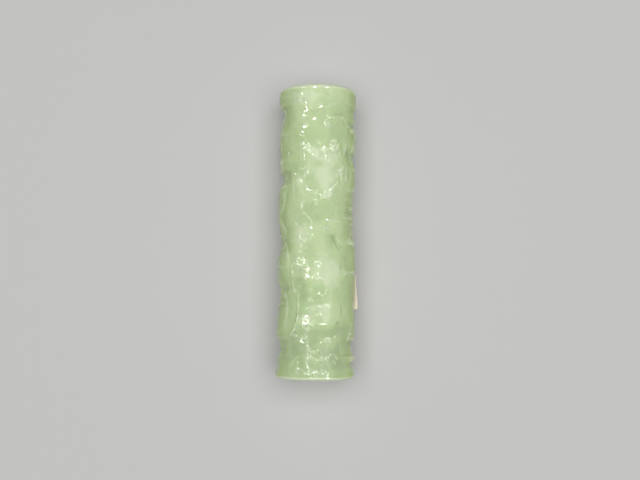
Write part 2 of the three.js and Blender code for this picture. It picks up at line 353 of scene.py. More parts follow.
def carve_middle_front(relief):
    """Around the middle: a feathered band, a hooked stem, a slanting gouge, flowers and a winding stem."""
    relief.ledge([(33, 19.6), (24, 17.1), (13, 14.3), (2, 13.8)], 0.3, 2.2, 0.15)
    relief.feather((15, 13.9), (24, 17.7), 5, 3.6, 52, 0.32)
    relief.ridge([(2, 14.4), (7, 13.9), (11, 14.6), (13, 15.8)], 0.52, 0.26)
    relief.ridge([(14, 13.1), (21, 14.6), (29, 18.1)], 0.5, 0.16)
    relief.ridge([(-8, 11.4), (-2, 13.1), (7, 12.3)], 0.6, 0.28)
    relief.ridge([(8, 11.6), (11, 10.6), (13, 10.8)], 0.52, 0.17)
    relief.ridge([(-20.5, 11.7), (-22, 8.2), (-15, 6), (-8, 3.8), (-5, 1.7)], 0.7, 0.4)
    relief.ledge([(21, 12.2), (27, 8.1), (34, 4.9)], 0.2, 2.2, 0.15)
    relief.ridge([(4, 3.7), (14, 3.6), (26, 3.8), (43, 3.9)], 0.6, 0.42)
    relief.ridge([(20, 5.3), (20, 2)], 0.52, 0.28)
    relief.ridge([(9, 0.3), (17, 0.6), (25, 0.1)], 0.75, 0.45)
    relief.ridge([(11, -0.7), (18, -0.9)], 0.5, 0.22)
    relief.ridge([(-27, 0.7), (-26, -2.7), (-20, -4.1), (-14, -2.8), (-15, -0.3)], 0.6, 0.22)
    relief.groove([(24, -1.6), (28, -3.9), (33, -6.3), (39, -7.8)], 0.9, 0.5)
    relief.groove([(27, -1.4), (31, -3.5), (36, -5.5), (43, -7.2)], 0.7, 0.35)
    relief.ridge([(31, -4), (35, -5.8), (39, -7.2)], 0.5, 0.39)
    relief.ridge([(33, -3.4), (37, -5)], 0.5, 0.22)
    relief.ledge([(26, -8.9), (12, -8.4), (0, -9)], 0.12, 2.4, 0.05)
    relief.swell(-11, -7.5, 5, 5, 0, -0.25)
    relief.groove([(-38, -11.1), (-30, -9.8), (-22, -8.9)], 0.7, 0.35)
    relief.ridge([(-24, -8.9), (-31, -10.1), (-37, -12.7), (-38, -16.5), (-36, -20.9), (-32, -25.3),
                  (-30, -29.2)], 0.8, 0.34)
    relief.ridge([(-27.5, -23.9), (-27, -28.2), (-27, -34), (-30, -37.8), (-36, -41.1), (-42, -42.7)],
                 0.7, 0.5)
    relief.groove([(-34, -24.3), (-31, -28.2), (-31, -34), (-35, -37.9)], 1.4, 0.2)
    relief.groove([(-20, -19.5), (-22, -24.3), (-20, -32.1)], 3.0, 0.2)
    relief.ridge([(-27, -11.4), (-33, -13.2), (-32, -15.9), (-26, -17.9)], 0.6, 0.34)
    relief.ridge([(-24, -12.8), (-29, -13.7), (-28, -15.6)], 0.5, 0.28)
    relief.burst(-18, -14.2, 5.0, 7, 10, 0.3)
    relief.ridge([(-22, -12.4), (-16, -12.2), (-10, -13)], 0.5, 0.28)
    relief.ridge([(-21, -16.3), (-15, -15.9), (-9, -15.7)], 0.52, 0.34)
    relief.burst(3.5, -13.8, 3.4, 5, 25, 0.3)
    relief.ridge([(-16, -18.2), (-10, -18.8), (-4, -19)], 0.75, 0.43)
    relief.ridge([(5, -17.9), (12, -17.6), (19, -17.8)], 0.52, 0.16)
    relief.ledge([(44, -11.3), (44.5, -14.6), (43, -18.5), (52, -19)], 0.25, 2.0, 0.08)
    relief.ridge([(43, -17.5), (48, -17.8), (53, -17.4)], 0.52, 0.22)


def carve_lower_front(relief):
    """Down to the base: a ledge, a rounded flower, and two stems that cross above rocks."""
    relief.ridge([(-9, -22.8), (-3, -22.1), (-6, -24.4)], 0.52, 0.2)
    relief.ridge([(0, -22.8), (5, -24.4), (3, -26.3)], 0.6, 0.2)
    relief.groove([(-4, -28.4), (1, -27.2), (7, -25)], 1.0, 0.3)
    relief.ridge([(-12, -27.1), (-9, -27.8), (-6, -26.9)], 0.5, 0.22)
    relief.ledge([(26, -30.7), (12, -30.4), (1, -30.5)], 0.15, 1.6, 0.28)
    relief.ridge([(-13, -31.1), (-8, -30.9), (-3, -31.1)], 0.68, 0.39)
    relief.ridge([(4, -31.9), (9, -32.3), (14, -31.9)], 0.5, 0.2)
    relief.ledge([(2, -37.2), (14, -36.9), (24, -37.1), (40, -37.9), (56, -37.9)], 0.4, 3.0, 0.08)
    for turn, lean in ((41, 0.9), (46, -1.9), (51, -2.8)):
        relief.groove([(turn, -28.6), (turn + lean, -32), (turn + lean / 2, -35.3)], 0.8, 0.25)
    relief.swell(-13, -37.2, 6, 7, 0, 0.25, 3)
    relief.burst(-12.5, -37.2, 7.4, 7, 20, 0.2)
    relief.ridge([(-18, -34.9), (-15, -36.3), (-11, -35.3)], 0.5, 0.28)
    relief.ridge([(-17, -38.6), (-13, -39.7), (-9, -39.2)], 0.5, 0.28)
    relief.ridge([(-21.5, -34.9), (-25, -37.6), (-31, -40.2)], 0.6, 0.34)
    relief.ridge([(48, -40.6), (34, -41.9), (26, -43.4), (18, -43.3), (9, -44.4), (0, -46.3), (-6, -47.6)],
                 0.8, 0.2)
    relief.ridge([(-42, -41.6), (-34, -41.7), (-26, -42.2), (-17, -42.6), (-10, -44.7), (-7, -47.8),
                  (0, -49.1), (8, -49.9), (15, -51.5)], 0.8, 0.2)
    relief.ridge([(-14, -41.7), (-10, -43), (-6, -45.5)], 0.52, 0.22)
    relief.feather((12, -43.4), (24, -44.4), 5, 2.4, 35, 0.25)
    relief.ledge([(14, -54.7), (2, -55.1), (-12, -54.2), (-14, -51.7), (-8, -49.9)], 0.25, 1.4, 0.1)
    relief.ridge([(19, -50.2), (26, -49.7), (33, -50.6), (35, -52.4)], 0.6, 0.34)
    relief.ridge([(41, -45.6), (42, -50), (41, -53.4)], 0.6, 0.28)
    relief.ridge([(47, -43.2), (48, -46.6), (47, -50.5)], 0.6, 0.22)
    relief.ledge([(-46, -54.6), (-38, -53.4), (-28, -50.8), (-22, -49.8)], 0.2, 1.6, 0.1)
    relief.ridge([(-27, -51.9), (-27, -55.2)], 0.6, 0.34)
    relief.swell(35, -37.3, 1.5, 1.5, 0, -0.4, 2)


def arc(turn, y, length, width, heading, start, end):
    """Points on part of an oval, from one bearing about its middle to another."""
    cosine, sine = math.cos(math.radians(heading)), math.sin(math.radians(heading))
    points = []
    for bearing in np.radians(np.linspace(start, end, 6)):
        u, v = length / 2 * math.cos(bearing), width / 2 * math.sin(bearing)
        points.append((turn + as_turn(u * sine + v * cosine), y + u * cosine - v * sine))
    return points


def petal(relief, rng, turn, y, length, width, heading, hand):
    """A soft hump that overlaps what lies beside it, with a fold, and stamens or beads at its foot."""
    relief.swell(turn, y, length, width, heading, 0.35, 3)
    edge = arc(turn, y, length, width, heading, 160 * hand, 20 * hand)[::hand]
    relief.ledge(edge, 0.45, 2.6, 0.12)
    relief.ridge(arc(turn, y, 0.75 * length, 0.4 * width, heading, -150 * hand, -30 * hand), 0.8, 0.3)
    foot_turn, foot_y = edge[0] if rng.random() < 0.5 else edge[-1]
    if rng.random() < 0.4:
        relief.burst(foot_turn, foot_y, 0.4 * length, 6, 60 * rng.random(), 0.3)
    else:
        relief.chain(arc(turn, y, 0.8 * length, 0.7 * width, heading, 150 * hand, 60 * hand), rng)


def carve_back(relief, rng):
    """The flanks and the underside: overlapping petals between two winding stems."""
    for row, y in enumerate(np.arange(-45, 50, 11.5)):
        for turn in np.arange(72 + 14 * (row % 2), 290, 29):
            length = rng.uniform(11, 17)
            petal(relief, rng, turn + rng.uniform(-5, 5), y + rng.uniform(-2.5, 2.5), length,
                  length * rng.uniform(0.55, 0.75), rng.uniform(-75, 75), rng.choice([-1, 1]))
    relief.ridge([(152, -50), (140, -38), (147, -22), (136, -5), (146, 12), (137, 28), (143, 41),
                  (138, 50)], 2.0, 0.45)
    relief.ridge([(-150, -50), (-132, -40), (-124, -25), (-134, -8), (-125, 8), (-130, 24), (-120, 38),
                  (-124, 50)], 2.0, 0.45)


# Small knobs that catch the light: (turn, y, size across)
KNOBS = [
    (3, 35.3, 1.8), (1.4, 36.2, 1.5), (-24.5, 55.2, 1.6), (-24, 54.2, 1.6), (-25, 53.4, 1.4),
    (19.6, 51.3, 1.8), (41, 46.3, 2), (-49, 31.6, 2.2), (-7.5, 31.9, 1.8), (-35, 22.9, 1.5),
    (36, 25, 2.4), (-21, 25, 1.4), (-15, 22.4, 1.4), (-15, 17.7, 1.4), (-22, 15.8, 1.2), (-19, 14.2, 1),
    (3, 15.7, 1.2), (-3, 14.8, 1.1), (-1, 11, 2.4), (-20, 11.6, 1.2), (-18, 2.5, 1.5), (-35, 2.8, 1.4),
    (-53, 2.5, 1.5), (-24, 1.5, 1.2), (-5, -2.1, 1.5), (-20, -4.6, 1.3), (-23, -7, 1.7), (-15, -6.9, 1.7),
    (-16, -9.6, 1.2), (-20, -11.5, 1.2), (1, -12.9, 1.2), (2, -17.9, 1.2), (5, -18.9, 1.2),
    (10, -19.3, 1.2), (48, -17.6, 2.2), (16, -24.2, 1.5), (30, -23.1, 1.4), (-26, -22.7, 1.4),
    (8, -33.2, 1.5), (-4, -37.7, 2), (-17, -35.5, 1.4), (-11, -39.4, 1.4), (-22, 35.6, 1.4),
    (-33, -41.9, 1.5), (-18, -43, 1.4), (-10, -47, 1.7), (-6, -48.6, 1.5), (3, -49.9, 1.5),
    (13, -44.6, 1.5), (20, -43.8, 1.4), (8, -49, 1.4), (-9, 49.6, 1.4), (-18, 52, 1.5), (-16, 47.6, 1.4),
    (-28, -56.4, 1.4), (-22, -55.4, 1.4), (-16, -56.4, 1.4), (-9, -56.1, 1.4), (-3, -57.2, 1.4),
    (6, -56.6, 1.4), (11, -57, 1.4), (18, -57.3, 1.4), (-12, -53.8, 1.2),
]

# Paths that fine knobs follow, (turn, y) in order
CHAINS = [
    [(-21, 53.6), (-19, 50.7), (-16, 48.4)], [(-14, 46.8), (-18, 46.3)],
    [(30, 46.4), (24, 45.2), (17, 44.5), (14, 41.8)], [(-21, 41.1), (-21, 37.3)],
    [(-22, 36.3), (-18, 34.3), (-20, 32.1), (-21, 28.6)], [(-17, 33.9), (-10, 31.9)],
    [(6, 34), (10, 31.7), (8, 30.4), (13, 28.9), (16, 27.2)],
    [(22, 32.5), (27, 36), (32, 34.2), (27, 32)], [(-30, 24.3), (-30, 22.4)],
    [(-23, 25), (-18, 22.8), (-15, 22)], [(-18, 18.4), (-15.5, 16.6), (-17, 15.6)],
    [(-14, 15.4), (-4, 15.2), (1, 15.6)], [(3, 13.8), (10, 13.5), (13, 14.7)], [(34, 25.4), (32, 20.1)],
    [(-29, 2.5), (-34, 2.2)], [(-20, 3), (-19, 0.7)], [(-8, 2.1), (-8, 0.6)],
    [(-26, -1.8), (-22, -3.7), (-15, -4.2), (-6, -3.2)], [(-24, -5.1), (-22, -8.6)],
    [(-19, -7), (-15, -8.6)], [(-30, -11.2), (-24, -12.8), (-23, -16.1), (-12, -16.7)],
    [(-21, -10.5), (-20, -12.8)], [(-16, -14.2), (-10, -13.8)], [(-2, -13.2), (2, -15.7)],
    [(-15, -19), (-8, -19.8)], [(0, -18), (4, -19.6), (8, -20)], [(-11, -24.4), (-6, -23.8)],
    [(16, -24.9), (8, -26.7)], [(-14, -31.5), (-8, -31.1)], [(-2, -30.7), (14, -31.3)],
    [(2, -33), (4, -34.4)], [(-24, -34.6), (-16, -34.8), (-8, -37.4), (-14, -40.7), (-20, -37.8)],
    [(-12, -34.9), (-12, -41.3)],
    [(-34, -42.1), (-24, -43), (-14, -44), (-10, -47.4), (-4, -50.1), (6, -51.7), (13, -53.6)],
    [(30, -42.7), (22, -44.6), (18, -46.1)], [(26, -45), (14, -44.9), (2, -48)],
    [(20, -51.3), (28, -51.4), (32, -53.9)], [(-27, -52.5), (-27, -54.8)],
    [(-28, -56.2), (-18, -55.9), (-8, -57.4), (-1, -58.9)], [(5, -56.5), (12, -56.7), (18, -58)],
    [(-27, -57.3), (-16, -57.6)], [(-20, -56.9), (-12, -57.2), (-6, -58.6)], [(-24, -43.4), (-12, -45.4)],
    [(-8, -47.6), (2, -50), (10, -51.2)], [(16, -42.9), (24, -43.4), (19, -45.6)],
]

# Clouds in the stone, pale where the amount is positive and deep green where it is negative:
# (turn, y, length, width, heading, amount)
# The deep green streaks at (38, 47.6) and (33, -5) follow gouges: they are painted shade in them
CLOUDS = [
    (-14, 54, 6, 11, 0, 0.5), (-50, 40.1, 16, 4, 0, -0.5), (38, 47.6, 1.6, 8, 0, -0.5),
    (14, 42.9, 5, 4, 0, 0.4), (0, 31.9, 4, 9, 20, 0.6), (20, 30.5, 6, 10, 0, 0.6),
    (42, 37.4, 3, 3, 0, 0.5), (58, 32.6, 6, 5, 0, -0.5), (12, 22.7, 11, 10, 0, 0.6),
    (43, 23.3, 8, 5, 0, 0.5), (-50, 21.6, 7, 6, 0, -0.6), (-30, 18.2, 9, 6, 0, 0.5),
    (-15, 25.2, 5, 5, 0, 0.3), (17, 15.3, 4, 8, 70, 0.7), (-15, 9.7, 7, 5, 0, -0.5),
    (28, 10.4, 7, 5, 30, -0.6), (58, 14, 8, 5, 0, -0.4), (1, 5, 3.4, 4, 0, -0.6),
    (-62, 4.3, 14, 5, 0, -0.4), (-17, 0.1, 7, 8, 0, 0.5), (24, -2.6, 5, 5, 0, -0.5),
    (18, 2, 4, 8, 0, 0.4), (-25, -5.1, 7, 5, 0, 0.6), (-10, -6.1, 5, 4, 0, -0.5), (25, -7, 6, 4, 0, -0.5),
    (33, -5, 7, 1.6, 125, -0.45), (48, -13.1, 7, 4, 0, -0.7), (13, -14.2, 9, 9, 0, 0.6),
    (34, -16.6, 6, 5, 0, 0.5), (-24, -20, 8, 4, 0, -0.6), (18, -20.5, 6, 8, 0, 0.5),
    (4, -26.3, 5, 5, 40, -0.5), (-16, -27.8, 9, 4, 0, -0.6), (2, -30.8, 3, 8, 0, 0.5),
    (55, -29.1, 16, 5, 0, -0.5), (16, -34.6, 5, 10, 90, 0.7), (-12, -36.9, 6, 8, 0, 0.9),
    (-46, -38.8, 8, 5, 20, 0.6), (14, -40.3, 3, 12, 0, -0.4), (35, -37.3, 1.4, 1.4, 0, -1.3),
    (50, -39.8, 4, 10, 10, -0.3), (55, -44.7, 6, 4, 0, -0.6), (-24, -49.4, 5, 5, 0, -0.4),
    (-4, -51.3, 6, 8, 0, 0.4), (32, -51, 5, 6, 0, -0.4), (-35, -54.3, 6, 6, 0, 0.5),
    (20, -44.6, 4, 7, 0, 0.4), (-50, -53.5, 6, 3, 30, -0.3),
]

# Outlines seen from above: places down the left and right flanks, (y, radius)
LEFT_OUTLINE = [
    (54.5, 15.9), (52.5, 15.4), (50.6, 14), (48.2, 14.1), (46.6, 14.8), (43.4, 15), (40.4, 15.7),
    (35.7, 15.9), (32, 15.5), (28.4, 15.7), (25.2, 15.3), (23.4, 14), (21.4, 14), (18.6, 15.7), (15, 16),
    (10.5, 15.8), (7, 16), (3.5, 15.6), (0, 15.1), (-4.6, 14.4), (-6.5, 14.5), (-9.2, 15.4), (-13, 16),
    (-18, 15.9), (-21.6, 15.3), (-23.4, 14.5), (-28.2, 14.7), (-31.5, 15.4), (-36, 15.7), (-40.5, 16.1),
    (-43.6, 15.8), (-45.2, 14.7), (-49, 14.3), (-50.6, 15.1), (-54.5, 15.5), (-57.5, 16.2),
]
RIGHT_OUTLINE = [
    (52.6, 16.1), (51.2, 14.7), (49, 15.4), (46.4, 15.5), (44.6, 14.8), (43.2, 15.8), (40, 16.1),
    (35.5, 16.1), (33.4, 15.7), (31.2, 14.7), (28.6, 15.4), (26.2, 16.1), (20, 15.9), (16.5, 15.5),
    (13.6, 15), (11.6, 15.3), (9.8, 15.2), (8.8, 14.5), (7, 15.2), (0.8, 15.1), (-2.6, 15.4),
    (-5.4, 16.1), (-8, 16.3), (-15, 16.3), (-20, 15.9), (-31, 16), (-36, 16.2), (-41.6, 16.2),
    (-43.6, 15.9), (-45.2, 14.5), (-48.6, 14.9), (-50.2, 15.4), (-51, 16.3), (-52.8, 16.3), (-54, 14.8),
    (-54.8, 14.5), (-55.9, 15.9), (-57, 16.3),
]


def follow_outline(relief, side, outline):
    """Raises or lowers a flank until its widest place at each height is on the outline."""
    flank_reach, fade_end, fade_width = 40, 62, 44
    places, radii = np.array(outline[::-1]).T
    away = np.abs((relief.turn - side + 180) % 360 - 180)
    flank = away < flank_reach
    widest = ((GROUND_RADIUS + relief.heights[:, flank]) * np.cos(np.radians(away[flank]))).max(axis=1)
    change = np.interp(relief.along, places, radii) - widest
    change[(relief.along < places[0]) | (relief.along > places[-1])] = 0
    relief.heights += change[:, None] * smooth_step((fade_end - away) / fade_width)


def collar_weights(relief):
    """How much of each place belongs to a collar: 1 on the upper and lower rims, 0 on the carving."""
    blend = 2.6
    turns = np.radians(relief.turn)[None, :]
    heights = relief.along[:, None]
    upper_edge = (51.6 - 1.3 * np.clip(np.cos(turns), 0, 1) + 0.6 * np.sin(turns + 3.6)
                  + 0.3 * np.sin(5 * turns))
    lower_edge = -56.2 + 0.35 * np.sin(3 * turns) + 0.2 * np.sin(7 * turns + 2)
    upper = smooth_step((heights - upper_edge) / blend + 0.5)
    lower = smooth_step((lower_edge - heights) / blend + 0.5)
    return np.maximum(upper, lower)


def carved_relief(rng):
    """The whole carving before it is polished, and how much of each place belongs to a collar."""
    relief = Relief()
    top = np.clip(np.cos(np.radians(relief.turn)), 0, 1)
    relief.heights += UNCUT_HEIGHT + 0.25 * top**0.5
    relief.heights += waviness(relief.heights.shape, rng, 12, 0.1)
    relief.heights += waviness(relief.heights.shape, rng, 5, 0.03)
    carve_outline(relief)
    carve_back(relief, rng)
    carve_upper_front(relief)
    carve_middle_front(relief)
    carve_lower_front(relief)
    rim = collar_weights(relief)
    collar = CARVING_DEPTH - COLLAR_SINK * top
    relief.heights = relief.heights * (1 - rim) + collar * rim
    for turn, y, size in KNOBS:
        relief.knob(turn, y, size)
    for points in CHAINS:
        relief.chain(points, rng)
    return relief, rim


def polish(relief):
    """Rounds the relief off, keeps it under the collars' height and brings its flanks to the outlines."""
    relief.heights = softened(relief.heights, POLISH_BLUR)
    spare = CARVING_DEPTH + HEIGHT_MARGIN - relief.heights
    relief.heights = CARVING_DEPTH - CEILING_SOFTNESS * np.logaddexp(0, spare / CEILING_SOFTNESS)
    follow_outline(relief, -90, LEFT_OUTLINE)
    follow_outline(relief, 90, RIGHT_OUTLINE)


def clouds_and_lower_shade(rim):
    """How pale or deep the stone is: its clouds, the paler collars and painted shade that deepens the lower
    part.
    """
    clouds = Relief()
    for turn, y, length, width, heading, amount in CLOUDS:
        clouds.swell(turn, y, length * CLOUD_SPREAD, width * CLOUD_SPREAD, heading, amount, 2)
    # Painted shade: the stone darkens from y = -34 down towards the shorter collar
    clouds.heights += 0.22 * rim - 0.75 * smooth_step((-34 - clouds.along) / 8)[:, None]
    return clouds.heights


def column_radii():
    """Radius of the carved side on the fine grid, and the shades that its material reads."""
    rng = np.random.default_rng(SEED)
    relief, rim = carved_relief(rng)
    polish(relief)
    heights = np.clip(relief.heights, 0, None)
    heights += waviness(heights.shape, rng, 7, 0.015)
    # A painted highlight on crests and painted shade in hollows, from how far each place stands above its
    # neighbourhood
    painted_relief_light = (heights - softened(heights, CREST_BLUR)) * (1 - rim)
    worked = softened(relief.marks, MARK_BLUR)
    worked = np.clip(np.maximum(1.6 * worked, (0.3 + 1.8 * rim) * (1 - rim)), 0, 1)
    heights += waviness(heights.shape, rng, 2.4, 1) * (0.005 + 0.02 * worked)
    shades = {"painted_relief_light": painted_relief_light, "worked": worked, "cloud_and_shade": clouds_and_lower_shade(rim)}
    return GROUND_RADIUS + np.minimum(heights, CARVING_DEPTH + HEIGHT_MARGIN), shades


# --------------------------------------------------------------------------------------------- the mesh

# Rings of each end: up its rounded rim, then over its flat face
ROUNDING_STEPS = 8
FACE_RINGS = 6
END_RINGS = ROUNDING_STEPS + FACE_RINGS - 1

# Shades of the two end faces and their rims: smooth, and a little paler than the side, a painted glow and
# painted highlight on the thin rims
END_SHADES = {"painted_relief_light": 0.3, "worked": 0.0, "cloud_and_shade": 0.5}


def grid_mesh(name, vertices, faces):
    mesh = bpy.data.meshes.new(name)
    mesh.from_pydata(vertices, [], faces)
    mesh.validate()
    mesh.polygons.foreach_set("use_smooth", [True] * len(mesh.polygons))
    mesh.update()
    piece = bpy.data.objects.new(name, mesh)
    bpy.context.scene.collection.objects.link(piece)
    return piece


def end_profile(end, rounding):
    """Radius and height of the rings from an end's rim in to its flat face, but for the rim's first."""
    centre = RIM_RADIUS - rounding
    rings = []
    for i in range(1, ROUNDING_STEPS):
        bearing = math.radians(90 * i / ROUNDING_STEPS)
        level = end - math.copysign(rounding * (1 - math.sin(bearing)), end)
        rings.append((centre + rounding * math.cos(bearing), level))
    return rings + [(centre * (1 - i / FACE_RINGS), end) for i in range(FACE_RINGS)]


def mesh_places():
    """Turns (in radians) and levels of the mesh, and a function that reads a fine grid there."""
    even = np.arange(MESH_AROUND) * 2 * np.pi / MESH_AROUND - np.pi
    turns = even - FRONT_DENSITY * np.sin(even)
    levels = np.linspace(LOWER_ROUNDING - LENGTH / 2, LENGTH / 2 - UPPER_ROUNDING, MESH_ALONG)
    column = (turns + np.pi) / (2 * np.pi) * FINE_AROUND
    row = (levels + LENGTH / 2) / LENGTH * (FINE_ALONG - 1)
    left, low = np.floor(column).astype(int), np.floor(row).astype(int)

    def sampled(values):
        first, second = values[:, left % FINE_AROUND], values[:, (left + 1) % FINE_AROUND]
        across = first + (second - first) * (column - left)
        return across[low] + (across[low + 1] - across[low]) * (row - low)[:, None]

    return turns, levels, sampled


def column_rings(side, levels):
    """Radii and level of every ring of the column, from the lower end's face to the upper end's."""
    lower_end = end_profile(-LENGTH / 2, LOWER_ROUNDING)
    upper_end = end_profile(LENGTH / 2, UPPER_ROUNDING)
    rings = [(radius / RIM_RADIUS * side[0], level) for radius, level in reversed(lower_end)]
    rings += list(zip(side, levels))
    rings += [(radius / RIM_RADIUS * side[-1], level) for radius, level in upper_end]
    return rings


def column_vertices(rings, turns):
    """Places of the rings, kept above the floor, and of the two poles in the middle of the end faces."""
    rest_limit = REST_DROP / np.clip(-np.cos(turns), 1e-6, None)
    vertices = []
    for radii, level in rings:
        radii = np.minimum(radii, rest_limit)
        ring = np.column_stack([AXIS_X + radii * np.sin(turns) * MM, np.full(len(turns), level * MM),
                                AXIS_Z + radii * np.cos(turns) * MM])
        vertices += ring.tolist()
    poles = [(AXIS_X, end * LENGTH / 2 * MM, AXIS_Z) for end in (-1, 1)]
    return vertices + poles


def column_faces(ring_count, count):
    """Quads between neighbouring rings of `count` places, and a fan from the last ring to each pole."""
    faces = []
    for ring in range(ring_count - 1):
        for i in range(count):
            a, b = ring * count + i, ring * count + (i + 1) % count
            faces.append((a + count, b + count, b, a))
    lower_pole = ring_count * count
    last = lower_pole - count
    for i in range(count):
        after = (i + 1) % count
        faces.append((i, after, lower_pole))
        faces.append((last + after, last + i, lower_pole + 1))
    return faces


def column_mesh():
    """The stone, with its shades as attributes: poles come last, so the shades end with two end values."""
    radii, shades = column_radii()
    turns, levels, sampled = mesh_places()
    rings = column_rings(sampled(radii), levels)
    faces = column_faces(len(rings), MESH_AROUND)
    column = grid_mesh("jade_column", column_vertices(rings, turns), faces)
    for name, values in shades.items():
        end = np.full(END_RINGS * MESH_AROUND, END_SHADES[name])
        whole = np.concatenate([end, sampled(values).ravel(), end, end[:2]])
        shade = column.data.attributes.new(name, "FLOAT", "POINT")
        shade.data.foreach_set("value", whole.astype(np.float32))
    return column


STICKER_HEIGHT = 15.0   # along the column
STICKER_TOP = -16.6
STICKER_THICKNESS = 0.2
STICKER_LOOSE_TURN = 98
STICKER_STUCK_TURN = 150
STICKER_GAP = 0.05
STICKER_CORNER = 0.06   # rounding of the loose corners, as a part of the sticker
STICKER_GRID = (40, 30)
PEEL_TURNS = (101.5, 108.5)   # where it leaves the stone, at its top and at its bottom
CURL_RADIUS = 2.6
CURL_STEPS = 12
MOST_LEAN = 80   # degrees from straight up, where the curl ends


def sticker_point(part, down, out):
    """A place on the paper, `part` of the way from its loose edge, `down` from its top, `out` of its back."""
    stuck_radius = RIM_RADIUS + STICKER_GAP
    peel = PEEL_TURNS[0] + (PEEL_TURNS[1] - PEEL_TURNS[0]) * down
    turn = STICKER_LOOSE_TURN + (STICKER_STUCK_TURN - STICKER_LOOSE_TURN) * part
    angle = math.radians(max(turn, peel))
    x, z = stuck_radius * math.sin(angle), stuck_radius * math.cos(angle)
    slope = angle - math.pi / 2   # of the paper, from straight up and outwards
    loose = math.radians(max(peel - turn, 0)) * stuck_radius
    for i in range(CURL_STEPS):
        bend = (i + 0.5) / CURL_STEPS * loose / CURL_RADIUS
        lean = min(slope + bend, math.radians(MOST_LEAN))
        x += math.sin(lean) * loose / CURL_STEPS
        z += math.cos(lean) * loose / CURL_STEPS
    lean = min(slope + loose / CURL_RADIUS, math.radians(MOST_LEAN))
    return x + out * math.cos(lean), STICKER_TOP - STICKER_HEIGHT * down, z - out * math.sin(lean)


def sticker_mesh():
    """A thin sheet that clings to the flank and curls away from it at its upper edge."""
    across, along = STICKER_GRID
    vertices, faces = [], []
    for out in (0, STICKER_THICKNESS):
        for j in range(along + 1):
            for i in range(across + 1):
                part, down = i / across, j / along
                corner = max(0, 1 - part / STICKER_CORNER) * abs(2 * down - 1) ** 12 * STICKER_CORNER * 0.5
                x, y, z = sticker_point(part + corner, down, out)
                vertices.append((AXIS_X + x * MM, y * MM, AXIS_Z + z * MM))
    row, layer = across + 1, (across + 1) * (along + 1)
    for j in range(along):
        for i in range(across):
            a = j * row + i
            faces.append((a, a + 1, a + row + 1, a + row))
            faces.append((layer + a, layer + a + row, layer + a + row + 1, layer + a + 1))
    border = [j * row for j in range(along)] + [along * row + i for i in range(across)]
    border += [j * row + across for j in range(along, 0, -1)] + list(range(across, 0, -1))
    for a, b in zip(border, border[1:] + border[:1]):
        faces.append((a, b, layer + b, layer + a))
    return grid_mesh("sticker_sheet", vertices, faces)


# -------------------------------------------------------------------------------------------- materials

BODY_GREEN = (0.635, 0.752, 0.455)
DEEP_GREEN = (0.560, 0.694, 0.400)
# Pale clouds, and the painted glow of the end rims
PALE_CLOUD_AND_RIM_GLOW = (0.760, 0.840, 0.600)
# A painted highlight on crests and painted shade in hollows
CREST_PAINTED_HIGHLIGHT = (0.800, 0.860, 0.660)
HOLLOW_PAINTED_SHADE = (0.470, 0.600, 0.340)
# Deep stains in the clouds, and painted shade on the lower part and along two gouges
STAIN_AND_SHADE_GREEN = (0.450, 0.560, 0.330)
# Painted shade where the surface turns away from the camera
SIDE_PAINTED_SHADE = (0.490, 0.635, 0.250)
PAPER_SHADE = (0.97, 0.83, 0.67)
PAPER_CREAM = (1.0, 0.91, 0.78)
FLOOR_GREY = (0.58, 0.575, 0.565)

# Heights of the bumps, in metres
PIT_DEPTH = 0.0005
POLISH_BUMP = 0.00011
FIBRE_BUMP = 0.0001


